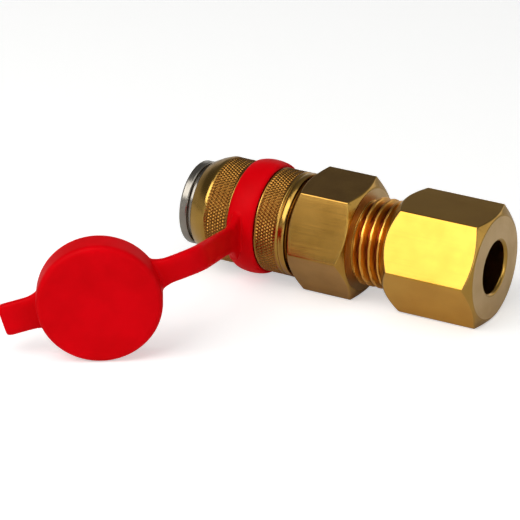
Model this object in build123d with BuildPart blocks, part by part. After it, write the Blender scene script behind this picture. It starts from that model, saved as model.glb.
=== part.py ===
from build123d import *
import os
from math import cos, radians, sin, sqrt, tan

# Quick coupler with a compression end for tube, and its soft dust cap.
# Millimetres. X runs along the axis from the plug bore's mouth (X = 0, just inside
# its lead-in) to the nut. Z is up. The nut lies on a flat, and the body's hexagon is
# turned a little from it, as the nut stops where it is tight.

os.makedirs("parts", exist_ok=True)

# Clearances
running = 0.05           # radial, between pieces that slide or turn on each other
seating = 0.02           # between pieces that are fixed together
end_gap = 0.05           # between a moving piece and its stop
ball_play = 0.03         # radial, of a ball in its hole
chamber_play = 0.1       # radial, of the sleeve's rear on the body's collar

# Barrel: radii from the plug's bore outwards, then lengths from the nose rearwards
plug_bore_r = 4.4
mouth_step = 0.3         # the mouth is wider than the plug's bore, for the plug's collar
flange_step = 0.3        # the retainer's flange stands out from the plug's bore
carrier_step = 0.55
barrel_wall = 0.85
nose_step = 0.5
lead_in = 0.4
nose_width = 1.4
nose_round = 0.3
mouth_length = 3.4
ball_plane = 5.25
shelf_offset = 1.6       # from the balls' plane to the shelf that stops the retainer
retainer_room = 4.35     # from that shelf to the seal carrier

# Locking balls
ball_r = 1.2
ball_count = 6
ball_seat_angle = 20.0   # half angle of the tapered seat at the inner end of a ball's hole

# Sleeve
sleeve_travel = 2.2
spring_room = 1.0        # radial, between the barrel and the sleeve's rear
sleeve_wall = 1.1
tip_wall = 0.25
bevel_length = 2.8
lip_width = 0.6
relief_play = 0.15
lock_ratio = 0.32        # inward movement of the balls for each unit of sleeve travel
land_offset = 2.13       # from the balls' plane to the locking land
land_length = 2.1
sleeve_gap = 0.6         # from the sleeve's rear to the hexagon
rim_length = 1.0
rim_round = 0.3
rim_groove_width = 0.4
rim_groove_depth = 0.25

# Ball retainer
retainer_lag = 0.1       # from the balls' plane to the retainer's front edge
retainer_wall = 0.85
retainer_edge = 0.1
retainer_flange = 0.9

# Seal carrier and the seals of plug and body
carrier_length = 3.1
carrier_lip = 1.0        # the carrier's bore is narrower than the plug's bore, on the radius
carrier_seat = 0.6
seal_groove_front = 0.5  # from the carrier's front to the groove
seal_groove_width = 1.6
plug_seal_r = 0.7        # radius of the seal's round section
plug_seal_bite = 0.15    # how far the seal stands into the bore
body_seal_thickness = 0.5

# Hexagons
across_flats = 17.0
chamfer_angle = 30.0
chamfer_circle = 0.96    # diameter of the circle on the end faces, as a share of the flats

# Body
neck_wall = 0.7
neck_length = 1.8
collar_length = 3.0
body_hex_length = 10.0
body_hex_turn = 4.0      # of the body's hexagon from the nut's
chamber_length = 8.8
stub_wall = 1.95         # radial, from the cone's mouth to the thread's crest
thread_length = 10.2
thread_chamfer = 0.8
undercut_depth = 0.8
undercut_length = 0.8
through_bore_r = 3.0

# Tube end: 24 degree cone, cutting ring and nut
tube_r = 4.05
tube_depth = 7.0         # from the body's end to the tube's stop
cone_half_angle = 12.0
cone_rise = 1.0          # radial, from the tube's bore to the cone's mouth
ring_play = 0.04
ring_tip_depth = 2.8     # of the ring's tip inside the cone's mouth
ring_gap = 0.5
ring_collar_step = 0.85  # radial, from the cone's mouth to the ring's collar
ring_collar_length = 2.8
ring_rear_wall = 0.45
nut_overlap = 5.0
nut_length = 15.4
nut_front_angle = 45.0   # of the nut's front chamfer, steeper than the others
nut_thread_depth = 7.6
nut_cone_play = 0.4      # radial, of the ring's collar in the nut
nut_mouth = 0.35
nut_front_mouth = 0.5

# Valve
head_play = 0.5          # radial, of the poppet's head in its chamber
head_thickness = 1.0
poppet_nose_play = 0.3
poppet_nose_length = 0.65
crown_wall = 0.9
crown_length = 0.5
crown_slot = 1.4
valve_groove_depth = 0.2
valve_seal_r = 0.4
valve_seal_play = 0.02
stem_r = 1.2
stem_reach = 0.8         # of the stem past its guide
guide_thickness = 1.2
guide_hub_wall = 0.65
guide_hub_length = 1.0
guide_hole_r = 0.8
guide_hole_count = 4

# Springs
sleeve_spring_wire = 0.4
sleeve_spring_turns = 3.5
retainer_spring_wire = 0.15
retainer_spring_turns = 2.5
valve_spring_wire = 0.3
valve_spring_turns = 4.5
valve_spring_play = 0.45
wire_sides = 8

# Dust cap
cap_ring_back = 5.3      # from the sleeve's rear to the cap's ring
cap_ring_width = 4.6
cap_ring_wall = 1.0
cap_ring_round = 0.5
cap_groove_depth = 0.25
cap_groove_side = 0.1
cap_r = 9.45
cap_depth = 5.0
cap_wall = 0.75
cap_face = 1.1
cap_round = 0.7
cap_turn = 30.0          # of the cap's face, from looking along -Y towards +X
cap_side = 6.35          # from the ring's middle to the face's centre, towards the nose
cap_reach = 40.1         # from the axis to the face's centre
cap_lift = 0.25          # of the face's centre, so that cap and ring rest at one level
strap_angle = 19.6       # of the strap above the level, in the plane of the cap's rim
strap_width = 4.1
strap_thickness = 1.7
strap_round = 0.45
strap_bend = 5.5
strap_run = 5.6          # from the cap's wall to the corner of the bend
root_place = 1.85        # from the ring's front to the middle of the strap's root
root_height = 7.6
root_length = 2.6
root_hollow = 0.45
tab_angle = 16.5         # of the tab below the level, on the far side of the cap
tab_length = 6.0
tab_width = 5.3
tab_round = 1.0

# Radii worked out from the sizes above
mouth_r = plug_bore_r + mouth_step
retainer_flange_r = plug_bore_r + flange_step
retainer_bore = retainer_flange_r + running
retainer_r = plug_bore_r - running
neck_r = retainer_bore + carrier_step
barrel_r = neck_r + barrel_wall
nose_r = barrel_r + nose_step
ball_rest_r = plug_bore_r + ball_r
ball_locked_r = ball_rest_r - lock_ratio * sleeve_travel
hole_r = ball_r + ball_play
seat_angle = radians(ball_seat_angle)
seat_reach = (ball_r + seating) / cos(seat_angle)
hole_step_r = ball_locked_r - (seat_reach - hole_r) / tan(seat_angle)
hole_seat_depth = hole_step_r - (plug_bore_r - ball_r)
hole_seat_r = hole_r - hole_seat_depth * tan(seat_angle)
chamber_r = barrel_r + spring_room
sleeve_r = chamber_r + sleeve_wall
sleeve_bore = nose_r + running
sleeve_tip_r = sleeve_bore + tip_wall
land_r = barrel_r + running
relief_r = ball_rest_r + ball_r + relief_play
collar_r = chamber_r - chamber_play
carrier_bore_r = plug_bore_r - carrier_lip
carrier_seat_r = carrier_bore_r + carrier_seat
plug_seal_centre = carrier_bore_r - plug_seal_bite + plug_seal_r
chamber_bore_r = neck_r - neck_wall
hex_corner_r = across_flats / sqrt(3)
hex_circle_r = chamfer_circle * across_flats / 2
cone_mouth_r = tube_r + cone_rise
thread_r = cone_mouth_r + stub_wall
undercut_r = thread_r - undercut_depth
ring_collar_r = cone_mouth_r + ring_collar_step
ring_rear_r = tube_r + ring_rear_wall
nut_bore_r = thread_r + running
nut_cone_r = ring_collar_r + nut_cone_play
poppet_nose_r = carrier_bore_r - poppet_nose_play
crown_bore_r = poppet_nose_r - crown_wall
valve_groove_r = poppet_nose_r - valve_groove_depth
valve_seal_centre = valve_groove_r + valve_seal_r + valve_seal_play / 2
head_r = chamber_bore_r - head_play
guide_hub_r = stem_r + running + guide_hub_wall
guide_hole_circle = (guide_hub_r + chamber_bore_r) / 2
valve_spring_r = guide_hub_r + valve_spring_play + valve_spring_wire
cap_groove_r = sleeve_r - cap_groove_depth
cap_ring_bore = cap_groove_r + running
cap_ring_r = cap_ring_bore + cap_ring_wall

# Places along the axis, from the nose to the nut
nose_face = -lead_in
nose_back = nose_face + nose_width
retainer_step = ball_plane + shelf_offset
retainer_front = ball_plane + retainer_lag
retainer_rear = retainer_step + end_gap + retainer_flange
carrier_front = retainer_step + retainer_room
carrier_rear = carrier_front + carrier_length
seal_front = carrier_front + seal_groove_front
seal_rear = seal_front + seal_groove_width
seat_front = carrier_rear - carrier_seat
neck_front = carrier_rear + body_seal_thickness
barrel_rear = neck_front + neck_length
body_hex_front = barrel_rear + collar_length
sleeve_front = nose_face + sleeve_travel
sleeve_rear = body_hex_front - sleeve_gap
lip_front = nose_back + sleeve_travel + end_gap
land_front = ball_plane + land_offset
cone_front = land_front - (relief_r - land_r) / lock_ratio
land_rear = land_front + land_length
rim_front = sleeve_rear - rim_length
cap_ring_rear = sleeve_rear - cap_ring_back
cap_ring_front = cap_ring_rear - cap_ring_width
cap_ring_middle = (cap_ring_front + cap_ring_rear) / 2
root_middle = cap_ring_front + root_place
hex_chamfer = (hex_corner_r - hex_circle_r) * tan(radians(chamfer_angle))
nut_chamfer = (hex_corner_r - hex_circle_r) * tan(radians(nut_front_angle))
chamber_end = neck_front + chamber_length
body_hex_rear = body_hex_front + body_hex_length
thread_front = body_hex_rear + undercut_length
stub_end = thread_front + thread_length
tube_stop = stub_end - tube_depth
cone_slope = tan(radians(cone_half_angle))
cone_start = stub_end - cone_rise / cone_slope
ring_tip = stub_end - ring_tip_depth
ring_tip_r = cone_mouth_r - ring_tip_depth * cone_slope - ring_play
ring_shoulder = stub_end + ring_gap
ring_shoulder_r = ring_tip_r + (ring_shoulder - ring_tip) * cone_slope
ring_collar_end = ring_shoulder + ring_collar_length
ring_rear = ring_collar_end + ring_collar_r - ring_rear_r
nut_front = stub_end - nut_overlap
nut_rear = nut_front + nut_length
nut_thread_end = nut_front + nut_thread_depth
nut_cone_start = ring_collar_end - nut_cone_play + end_gap * sqrt(2)
nut_cone_end = nut_cone_start + nut_cone_r - tube_r
valve_seal_x = (
    seat_front
    + valve_seal_centre
    - carrier_bore_r
    + (valve_seal_r + valve_seal_play) * sqrt(2)
)
valve_groove_front = valve_seal_x - valve_seal_r - valve_seal_play
head_front = valve_seal_x + valve_seal_r + valve_seal_play
head_rear = head_front + head_thickness
poppet_nose_front = valve_groove_front - poppet_nose_length
crown_front = poppet_nose_front - crown_length
guide_front = chamber_end - guide_thickness
stem_end = chamber_end + stem_reach


# Barrel: turned, with a flange at the nose and a radial hole for each ball
with BuildPart() as barrel:
    with BuildSketch(Plane.XY):
        with BuildLine():
            Polyline(
                (nose_face, mouth_r + lead_in),
                (0, mouth_r),
                (mouth_length, mouth_r),
                (mouth_length + mouth_step, plug_bore_r),
                (retainer_step, plug_bore_r),
                (retainer_step, retainer_bore),
                (carrier_front, retainer_bore),
                (carrier_front, neck_r),
                (barrel_rear, neck_r),
                (barrel_rear, barrel_r),
                (nose_back, barrel_r),
                (nose_back, nose_r),
                (nose_face, nose_r),
                close=True,
            )
        make_face()
    revolve(axis=Axis.X)
    nose_edges = barrel.edges().filter_by(GeomType.CIRCLE)
    fillet(nose_edges.filter_by(lambda edge: abs(edge.radius - nose_r) < 0.01), radius=nose_round)
    with Locations(Plane.YZ.offset(ball_plane)):
        with PolarLocations(hole_step_r, ball_count):
            Cylinder(
                hole_r,
                nose_r - hole_step_r,
                rotation=(0, 90, 0),
                align=(Align.CENTER, Align.CENTER, Align.MIN),
                mode=Mode.SUBTRACT,
            )
            Cone(
                hole_seat_r,
                hole_r,
                hole_seat_depth,
                rotation=(0, 90, 0),
                align=(Align.CENTER, Align.CENTER, Align.MAX),
                mode=Mode.SUBTRACT,
            )

# Locking balls: held out by the retainer, so each lies in the sleeve's relief
balls = []
for number in range(ball_count):
    angle = radians(number * 360 / ball_count)
    with BuildPart() as ball:
        with Locations((ball_plane, ball_rest_r * cos(angle), ball_rest_r * sin(angle))):
            Sphere(ball_r)
    balls.append(ball.part)

# Sleeve: lip, ball relief, cone, locking land and spring chamber inside
with BuildPart() as sleeve:
    with BuildSketch(Plane.XY):
        with BuildLine():
            Polyline(
                (sleeve_front, sleeve_bore),
                (lip_front, sleeve_bore),
                (lip_front, land_r),
                (lip_front + lip_width, land_r),
                (lip_front + lip_width, relief_r),
                (cone_front, relief_r),
                (land_front, land_r),
                (land_rear, land_r),
                (land_rear, chamber_r),
                (sleeve_rear, chamber_r),
                (sleeve_rear, sleeve_r - rim_round),
                (sleeve_rear - rim_round, sleeve_r),
                (rim_front, sleeve_r),
                (rim_front - rim_groove_width / 2, sleeve_r - rim_groove_depth),
                (rim_front - rim_groove_width, sleeve_r),
                (cap_ring_rear + cap_groove_side, sleeve_r),
                (cap_ring_rear + cap_groove_side, cap_groove_r),
                (cap_ring_front - cap_groove_side, cap_groove_r),
                (cap_ring_front - cap_groove_side, sleeve_r),
                (sleeve_front + bevel_length, sleeve_r),
                (sleeve_front, sleeve_tip_r),
                close=True,
            )
        make_face()
    revolve(axis=Axis.X)

# Ball retainer: its tube holds the balls out, its flange rests on the barrel's shelf
with BuildPart() as ball_retainer:
    with BuildSketch(Plane.XY):
        with BuildLine():
            Polyline(
                (retainer_front, retainer_r - retainer_wall),
                (retainer_front, retainer_r - retainer_edge),
                (retainer_front + retainer_edge, retainer_r),
                (retainer_step + end_gap, retainer_r),
                (retainer_step + end_gap, retainer_flange_r),
                (retainer_rear, retainer_flange_r),
                (retainer_rear, retainer_r - retainer_wall),
                close=True,
            )
        make_face()
    revolve(axis=Axis.X)

# Seal carrier: bush with the plug seal's groove inside and the valve seat at its rear
with BuildPart() as seal_carrier:
    with BuildSketch(Plane.XY):
        with BuildLine():
            Polyline(
                (carrier_front + seating, carrier_bore_r),
                (seal_front, carrier_bore_r),
                (seal_front, plug_seal_centre + plug_seal_r + seating),
                (seal_rear, plug_seal_centre + plug_seal_r + seating),
                (seal_rear, carrier_bore_r),
                (seat_front, carrier_bore_r),
                (carrier_rear, carrier_seat_r),
                (carrier_rear, neck_r - seating),
                (carrier_front + seating, neck_r - seating),
                close=True,
            )
        make_face()
    revolve(axis=Axis.X)

# Plug seal: O-ring in the carrier's groove
with BuildPart() as plug_seal:
    with BuildSketch(Plane.XY):
        with Locations(((seal_front + seal_rear) / 2, plug_seal_centre)):
            Circle(plug_seal_r)
    revolve(axis=Axis.X)

# Body seal: flat ring clamped between the carrier and the body's neck
with BuildPart() as body_seal:
    with BuildSketch(Plane.YZ.offset(carrier_rear)):
        Circle(neck_r - seating)
        Circle(chamber_bore_r, mode=Mode.SUBTRACT)
    extrude(amount=body_seal_thickness)

# Body: neck in the barrel, collar under the sleeve, hexagon, male stub with its cone
with BuildPart() as hex_body:
    with BuildSketch(Plane.YZ.offset(body_hex_front)):
        RegularPolygon(hex_corner_r, 6, rotation=body_hex_turn)
    extrude(amount=body_hex_length)
    with BuildSketch(Plane.XY):
        with BuildLine():
            Polyline(
                (body_hex_front, 0),
                (body_hex_front, hex_circle_r),
                (body_hex_front + hex_chamfer, hex_corner_r),
                (body_hex_rear - hex_chamfer, hex_corner_r),
                (body_hex_rear, hex_circle_r),
                (body_hex_rear, 0),
                close=True,
            )
        make_face()
    revolve(axis=Axis.X, mode=Mode.INTERSECT)
    with BuildSketch(Plane.XY):
        with BuildLine():
            Polyline(
                (neck_front, 0),
                (neck_front, neck_r - seating),
                (barrel_rear, neck_r - seating),
                (barrel_rear, collar_r),
                (body_hex_front, collar_r),
                (body_hex_rear, undercut_r),
                (thread_front, undercut_r),
                (thread_front + undercut_depth, thread_r),
                (stub_end - thread_chamfer, thread_r),
                (stub_end, thread_r - thread_chamfer),
                (stub_end, 0),
                close=True,
            )
        make_face()
    revolve(axis=Axis.X)
    with BuildSketch(Plane.XY):
        with BuildLine():
            Polyline(
                (neck_front, 0),
                (neck_front, chamber_bore_r),
                (chamber_end, chamber_bore_r),
                (chamber_end, through_bore_r),
                (tube_stop, through_bore_r),
                (tube_stop, tube_r),
                (cone_start, tube_r),
                (stub_end, cone_mouth_r),
                (stub_end, 0),
                close=True,
            )
        make_face()
    revolve(axis=Axis.X, mode=Mode.SUBTRACT)

# Valve guide: disc with a hub for the stem and holes for the flow
with BuildPart() as valve_guide:
    with BuildSketch(Plane.YZ.offset(guide_front)):
        Circle(chamber_bore_r - seating)
        with PolarLocations(guide_hole_circle, guide_hole_count):
            Circle(guide_hole_r, mode=Mode.SUBTRACT)
    extrude(amount=guide_thickness - seating)
    with BuildSketch(Plane.YZ.offset(guide_front)):
        Circle(guide_hub_r)
    extrude(amount=-guide_hub_length)
    with BuildSketch(Plane.YZ.offset(guide_front - guide_hub_length)):
        Circle(stem_r + running)
    extrude(amount=guide_hub_length + guide_thickness, mode=Mode.SUBTRACT)

# Valve poppet: slotted crown that the plug pushes, nose, seal groove, head and stem
with BuildPart() as valve_poppet:
    with BuildSketch(Plane.XY):
        with BuildLine():
            Polyline(
                (poppet_nose_front, 0),
                (poppet_nose_front, crown_bore_r),
                (crown_front, crown_bore_r),
                (crown_front, poppet_nose_r),
                (valve_groove_front, poppet_nose_r),
                (valve_groove_front, valve_groove_r),
                (head_front, valve_groove_r),
                (head_front, head_r),
                (head_rear, head_r),
                (head_rear, stem_r),
                (stem_end, stem_r),
                (stem_end, 0),
                close=True,
            )
        make_face()
    revolve(axis=Axis.X)
    with BuildSketch(Plane.YZ.offset(crown_front)):
        Rectangle(2 * poppet_nose_r, crown_slot)
        Rectangle(crown_slot, 2 * poppet_nose_r)
    extrude(amount=crown_length, mode=Mode.SUBTRACT)

# Valve seal: O-ring on the poppet, against the carrier's seat
with BuildPart() as valve_seal:
    with BuildSketch(Plane.XY):
        with Locations((valve_seal_x, valve_seal_centre)):
            Circle(valve_seal_r)
    revolve(axis=Axis.X)


def coil(x_low, x_high, radius, wire, turns):
    """Winds a spring about the axis between two seats and grinds its ends flat."""
    low = x_low + seating
    high = x_high - seating
    with BuildPart() as spring:
        with BuildLine() as path:
            Helix(
                pitch=(high - low) / turns,
                height=high - low + 2 * wire,
                radius=radius,
                center=(low - wire, 0, 0),
                direction=(1, 0, 0),
            )
        with BuildSketch(Plane(origin=path.line @ 0, z_dir=path.line % 0)):
            RegularPolygon(wire, wire_sides)
        sweep(path=path.line, is_frenet=True)
        split(bisect_by=Plane(origin=(low, 0, 0), z_dir=(1, 0, 0)), keep=Keep.TOP)
        split(bisect_by=Plane(origin=(high, 0, 0), z_dir=(1, 0, 0)), keep=Keep.BOTTOM)
    return spring.part


# Springs: the sleeve's, the retainer's and the valve's
sleeve_spring = coil(
    land_rear,
    barrel_rear,
    (barrel_r + chamber_r) / 2,
    sleeve_spring_wire,
    sleeve_spring_turns,
)
retainer_spring = coil(
    retainer_rear,
    carrier_front,
    retainer_bore - 2 * retainer_spring_wire,
    retainer_spring_wire,
    retainer_spring_turns,
)
valve_spring = coil(
    head_rear,
    guide_front,
    valve_spring_r,
    valve_spring_wire,
    valve_spring_turns,
)

# Cutting ring: its tip sits in the body's cone, its rear against the nut's cone
with BuildPart() as cutting_ring:
    with BuildSketch(Plane.XY):
        with BuildLine():
            Polyline(
                (ring_tip, tube_r),
                (ring_tip, ring_tip_r),
                (ring_shoulder, ring_shoulder_r),
                (ring_shoulder, ring_collar_r),
                (ring_collar_end, ring_collar_r),
                (ring_rear, ring_rear_r),
                (ring_rear, tube_r),
                close=True,
            )
        make_face()
    revolve(axis=Axis.X)

# Compression nut: hexagon with the thread's bore, the ring's cone and the tube's hole
with BuildPart() as compression_nut:
    with BuildSketch(Plane.YZ.offset(nut_front)):
        RegularPolygon(hex_corner_r, 6)
    extrude(amount=nut_length)
    with BuildSketch(Plane.XY):
        with BuildLine():
            Polyline(
                (nut_front, 0),
                (nut_front, hex_circle_r),
                (nut_front + nut_chamfer, hex_corner_r),
                (nut_rear - hex_chamfer, hex_corner_r),
                (nut_rear, hex_circle_r),
                (nut_rear, 0),
                close=True,
            )
        make_face()
    revolve(axis=Axis.X, mode=Mode.INTERSECT)
    with BuildSketch(Plane.XY):
        with BuildLine():
            Polyline(
                (nut_front, 0),
                (nut_front, nut_bore_r + nut_front_mouth),
                (nut_front + nut_front_mouth, nut_bore_r),
                (nut_thread_end, nut_bore_r),
                (nut_thread_end, nut_cone_r),
                (nut_cone_start, nut_cone_r),
                (nut_cone_end, tube_r),
                (nut_rear - nut_mouth, tube_r),
                (nut_rear, tube_r + nut_mouth),
                (nut_rear, 0),
                close=True,
            )
        make_face()
    revolve(axis=Axis.X, mode=Mode.SUBTRACT)

# Dust cap: one moulding of ring, strap, round cap and pull tab. The cap stands on its
# side in front of the coupler, and its open rim faces the coupler.
face_normal = Vector(sin(radians(cap_turn)), -cos(radians(cap_turn)), 0)
face_side = Vector(cos(radians(cap_turn)), sin(radians(cap_turn)), 0)
face_centre = Vector(cap_ring_middle - cap_side, -cap_reach, cap_lift)
rim_plane = Plane(origin=face_centre - face_normal * cap_depth, x_dir=face_side, z_dir=face_normal)
heading = face_side * cos(radians(strap_angle)) + Vector(0, 0, sin(radians(strap_angle)))
strap_level = rim_plane.origin + face_normal * strap_thickness / 2
strap_start = strap_level + heading * (cap_r - cap_wall / 2)
strap_corner = strap_level + heading * (cap_r + strap_run)
strap_end = Vector(root_middle, -cap_ring_r - root_length, 0)
strap_side = heading.cross(strap_end - strap_corner).normalized()
tab_heading = -face_side * cos(radians(tab_angle)) - Vector(0, 0, sin(radians(tab_angle)))
root_inner = -(cap_ring_bore + cap_ring_wall / 2)
root_outer = strap_end.Y - strap_thickness / 4

with BuildPart() as dust_cap:
    with BuildSketch(Plane.XY):
        with Locations((cap_ring_middle, cap_ring_bore + cap_ring_wall / 2)):
            Rectangle(cap_ring_width, cap_ring_wall)
    revolve(axis=Axis.X)
    ring_edges = dust_cap.edges().filter_by(GeomType.CIRCLE).sort_by(lambda edge: edge.radius)[-2:]
    fillet(ring_edges, radius=cap_ring_round)
    with BuildSketch(rim_plane):
        Circle(cap_r)
    extrude(amount=cap_depth)
    face_edge = dust_cap.edges().filter_by(GeomType.CIRCLE).sort_by(Axis.Y)[0]
    fillet(face_edge, radius=cap_round)
    with BuildSketch(Plane(origin=rim_plane.origin, x_dir=tab_heading, z_dir=face_normal)):
        with Locations((cap_r + tab_length / 2 - cap_wall / 2, 0)):
            RectangleRounded(tab_length + cap_wall, tab_width, tab_round)
    extrude(amount=strap_thickness)
    with BuildLine() as strap_path:
        FilletPolyline(strap_start, strap_corner, strap_end, radius=strap_bend)
    with BuildSketch(Plane(origin=strap_start, x_dir=strap_side, z_dir=heading)):
        RectangleRounded(strap_width, strap_thickness, strap_round)
    sweep(path=strap_path.line)
    with BuildSketch(rim_plane):
        Circle(cap_r - cap_wall)
    extrude(amount=cap_depth - cap_face, mode=Mode.SUBTRACT)
    with BuildSketch(Plane.YZ.offset(strap_end.X - strap_thickness / 2)):
        with BuildLine():
            Line((root_inner, root_height / 2), (root_inner, -root_height / 2))
            SagittaArc((root_inner, -root_height / 2), (root_outer, -strap_width / 2), -root_hollow)
            Line((root_outer, -strap_width / 2), (root_outer, strap_width / 2))
            SagittaArc((root_outer, strap_width / 2), (root_inner, root_height / 2), -root_hollow)
        make_face()
    extrude(amount=strap_thickness)

pieces = {
    "barrel": barrel.part,
    "sleeve": sleeve.part,
    "ball_retainer": ball_retainer.part,
    "seal_carrier": seal_carrier.part,
    "plug_seal": plug_seal.part,
    "body_seal": body_seal.part,
    "hex_body": hex_body.part,
    "valve_guide": valve_guide.part,
    "valve_poppet": valve_poppet.part,
    "valve_seal": valve_seal.part,
    "sleeve_spring": sleeve_spring,
    "retainer_spring": retainer_spring,
    "valve_spring": valve_spring,
    "cutting_ring": cutting_ring.part,
    "compression_nut": compression_nut.part,
    "dust_cap": dust_cap.part,
}
for number, ball_part in enumerate(balls, start=1):
    pieces[f"locking_ball_{number}"] = ball_part
for name, piece in pieces.items():
    piece.label = name
    export_step(piece, f"parts/{name}.step")
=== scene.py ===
"""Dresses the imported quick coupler: knurled sleeve, hexagons, threads and soft dust cap.

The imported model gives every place. Lengths inside the classes are millimetres in the row
frame (X along the axis from the nose to the nut, Z up) and turn to metres in the mesh.
"""

import logging
import math
from dataclasses import dataclass, field
from enum import Enum

import bpy
import numpy as np
from bpy.types import ID, Material, Node, NodeSocket, NodeTree, Object
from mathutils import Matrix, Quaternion, Vector


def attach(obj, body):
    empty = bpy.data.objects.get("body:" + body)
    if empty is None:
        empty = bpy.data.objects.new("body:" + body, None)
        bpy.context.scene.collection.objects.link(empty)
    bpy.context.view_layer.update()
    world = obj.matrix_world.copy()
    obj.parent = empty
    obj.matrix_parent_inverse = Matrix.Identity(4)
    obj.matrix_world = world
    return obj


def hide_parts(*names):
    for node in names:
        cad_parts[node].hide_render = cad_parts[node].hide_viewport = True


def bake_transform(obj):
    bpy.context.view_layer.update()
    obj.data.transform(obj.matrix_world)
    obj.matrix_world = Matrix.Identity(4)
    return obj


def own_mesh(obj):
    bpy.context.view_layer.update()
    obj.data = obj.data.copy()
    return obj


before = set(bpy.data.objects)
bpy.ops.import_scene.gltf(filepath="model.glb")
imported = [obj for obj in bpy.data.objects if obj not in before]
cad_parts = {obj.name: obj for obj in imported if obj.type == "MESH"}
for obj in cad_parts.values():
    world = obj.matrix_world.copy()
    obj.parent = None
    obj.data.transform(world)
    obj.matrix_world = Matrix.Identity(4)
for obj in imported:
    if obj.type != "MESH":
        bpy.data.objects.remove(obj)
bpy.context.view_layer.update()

MM = 0.001
TURN = 2 * math.pi
CORNER_STEPS = 4
CORNER_ROWS = CORNER_STEPS + 1
LEG_SHARE = 0.45
LINE_STRETCH = 60
NOISE_LOW = 0.35
Pair = tuple[float, float]
Grid = np.ndarray
LOG = logging.getLogger("quick_coupler")


# Colours and shader nodes


def linear(hex_colour: str) -> tuple[float, float, float, float]:
    """Turns an sRGB hex colour such as #CDA454 to linear light.

    Args:
        hex_colour: the colour as six hex digits after a hash.

    Returns:
        Red, green, blue and alpha.
    """
    parts = [int(hex_colour[i : i + 2], 16) / 255 for i in (1, 3, 5)]
    light = [c / 12.92 if c <= 0.04045 else ((c + 0.055) / 1.055) ** 2.4 for c in parts]
    return (*light, 1.0)


def add(tree: NodeTree, kind: str, settings: dict | None = None, **links: object) -> Node:
    """Adds one shader node.

    Args:
        tree: the node tree it goes into.
        kind: the node's type name after ShaderNode.
        settings: properties by name, and socket values by socket name or number.
        **links: sockets to link from, by the input's name with spaces as underscores, or in0, in1.

    Returns:
        The new node.
    """
    node = tree.nodes.new(f"ShaderNode{kind}")
    for key, value in (settings or {}).items():
        if isinstance(key, str) and hasattr(node, key):
            setattr(node, key, value)
        else:
            node.inputs[key].default_value = value
    for key, source in links.items():
        socket = int(key[2:]) if key[:2] == "in" and key[2:].isdigit() else key.replace("_", " ")
        tree.links.new(source, node.inputs[socket])
    return node


def new_material(name: str) -> tuple[Material, NodeTree, Node]:
    """Makes a material with an empty Principled shader.

    Args:
        name: the material's name.

    Returns:
        The material, its tree and its Principled node.
    """
    material = bpy.data.materials.new(name)
    material.use_nodes = True
    tree = material.node_tree
    tree.nodes.clear()
    shader = add(tree, "BsdfPrincipled")
    add(tree, "OutputMaterial", Surface=shader.outputs["BSDF"])
    return material, tree, shader


def cover(
    tree: NodeTree,
    shader: Node,
    tone: NodeSocket,
    gloss: NodeSocket,
    roughness: Pair,
    height: NodeSocket,
    depth: float,
) -> None:
    """Gives a shader its colour, a roughness that varies and a fine relief.

    Args:
        tree: the material's node tree.
        shader: its Principled node.
        tone: the colour.
        gloss: what the roughness follows, from 0 to 1.
        roughness: the roughness at 0 and at 1.
        height: the relief, from 0 to 1.
        depth: the relief's depth.
    """
    spread = add(tree, "MapRange", {"To Min": roughness[0], "To Max": roughness[1]}, Value=gloss)
    relief = add(tree, "Bump", {"Strength": 1.0, "Distance": depth * MM}, Height=height)
    tree.links.new(tone, shader.inputs["Base Color"])
    tree.links.new(spread.outputs[0], shader.inputs["Roughness"])
    tree.links.new(relief.outputs[0], shader.inputs["Normal"])


class Lay(Enum):
    """Which way the tool marks of a machined surface run."""

    TURNED = "rings about the axis"
    DRAWN = "lines along the axis"
    PLAIN = "no direction"


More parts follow.
